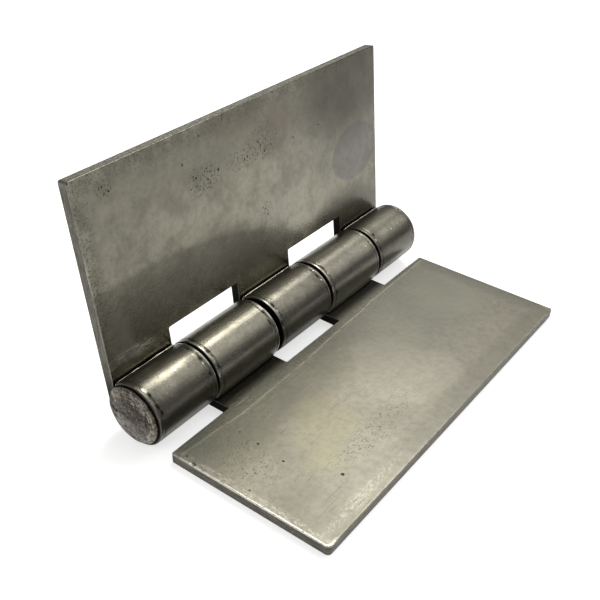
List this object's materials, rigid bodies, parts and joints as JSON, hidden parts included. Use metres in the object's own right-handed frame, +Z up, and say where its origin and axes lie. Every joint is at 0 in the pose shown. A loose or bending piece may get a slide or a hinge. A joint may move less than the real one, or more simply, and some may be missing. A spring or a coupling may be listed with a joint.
{
  "type": "flat weld-on hinge",
  "caption": "Heavy plain steel butt hinge with unpunched flat leaves, rolled knuckles and a riveted pin, made to be welded to a frame and a door or gate.",
  "frame": {"origin": "centre of the lying leaf's outer face, the face that is welded down", "axes": "+Y along the pin, +X from the pin towards the lying leaf's free edge, +Z up from the lying leaf"},
  "size_m": [0.063, 0.1026, 0.056],
  "materials": {
    "leaf_steel": "bare rolled sheet steel, lightly oiled, with cloudy mill marks, fine scratches and small pits",
    "pin_steel": "bare round bar, with rough hammered ends"
  },
  "bodies": {
    "lying_side": {"lying_leaf": "leaf_steel"},
    "upright_side": {"upright_leaf": "leaf_steel", "hinge_pin": "pin_steel"}
  },
  "joints": [
    {"name": "pin_swing", "type": "hinge", "parent": "lying_side", "child": "upright_side", "pos_m": [-0.02959, 0, 0.00758], "axis": [0, -1, 0], "range_deg": [-108, 186]}
  ]
}
